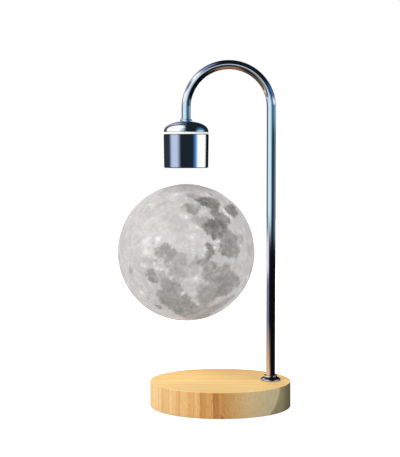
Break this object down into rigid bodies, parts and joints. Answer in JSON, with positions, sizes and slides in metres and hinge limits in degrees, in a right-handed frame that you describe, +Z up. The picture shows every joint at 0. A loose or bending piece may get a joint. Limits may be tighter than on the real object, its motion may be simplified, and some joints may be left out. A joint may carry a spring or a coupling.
{
  "type": "levitating moon lamp",
  "caption": "Table lamp whose moon ball hangs in the air under the magnet head of a bent chrome arm, on a round wooden base that charges a phone.",
  "frame": {"origin": "centre of the anti-slip pad's underside, on the table", "axes": "+Z up; +X from the base's centre towards the post; the arm's bend lies in the XZ plane and the power socket faces +Y"},
  "size_m": [0.19, 0.155, 0.3802],
  "materials": {
    "pine": "satin",
    "chrome": "polished",
    "white_plastic": "satin",
    "moon_print": "matte",
    "black_plastic": "satin",
    "pad_rubber": "matte",
    "screw_steel": "satin",
    "copper_wire": "gloss",
    "ferrite": "matte",
    "circuit_board": "satin",
    "led_board_white": "satin",
    "cable_sheath": "matte",
    "core_iron": "satin",
    "bobbin_nylon": "satin",
    "magnet_nickel": "gloss",
    "frosted_plastic": "matte"
  },
  "bodies": {
    "stand": {"base_body": "pine", "base_cover": "black_plastic", "base_pad": "pad_rubber", "cover_screw_1": "screw_steel", "cover_screw_2": "screw_steel", "cover_screw_3": "screw_steel", "cover_screw_4": "screw_steel", "dc_socket": "black_plastic", "charging_coil": "copper_wire", "charging_ferrite": "ferrite", "charging_board": "circuit_board", "power_lead": "cable_sheath", "arm_tube": "chrome", "arm_cable": "cable_sheath", "arm_flange": "chrome", "arm_washer": "screw_steel", "arm_nut": "screw_steel", "head_sleeve": "chrome", "head_face": "black_plastic", "head_ring": "white_plastic", "head_dome": "chrome", "head_collar": "chrome", "head_washer": "screw_steel", "head_nut": "screw_steel", "head_board": "circuit_board", "magnet_core": "core_iron", "magnet_bobbin": "bobbin_nylon", "magnet_winding": "copper_wire", "bias_magnet": "magnet_nickel", "sensor_board": "circuit_board", "transmitter_coil": "copper_wire", "head_screw_1": "screw_steel", "head_screw_2": "screw_steel", "head_screw_3": "screw_steel"},
    "float_magnet": {"levitation_magnet": "magnet_nickel"},
    "moon": {"moon_shell": "moon_print", "moon_cap": "moon_print", "module_housing": "white_plastic", "receiver_coil": "copper_wire", "led_board": "led_board_white", "light_diffuser": "frosted_plastic"}
  },
  "joints": [
    {"name": "moon_float", "type": "slide", "parent": "stand", "child": "float_magnet", "axis": [0, 0, 1], "range_m": [-0.066, 0.0174], "stiffness_N_per_m": 60, "springref_m": 0.0333},
    {"name": "moon_spin", "type": "hinge", "parent": "float_magnet", "child": "moon", "pos_m": [-0.0375, 0, 0.1703], "axis": [0, 0, 1], "continuous": true}
  ]
}
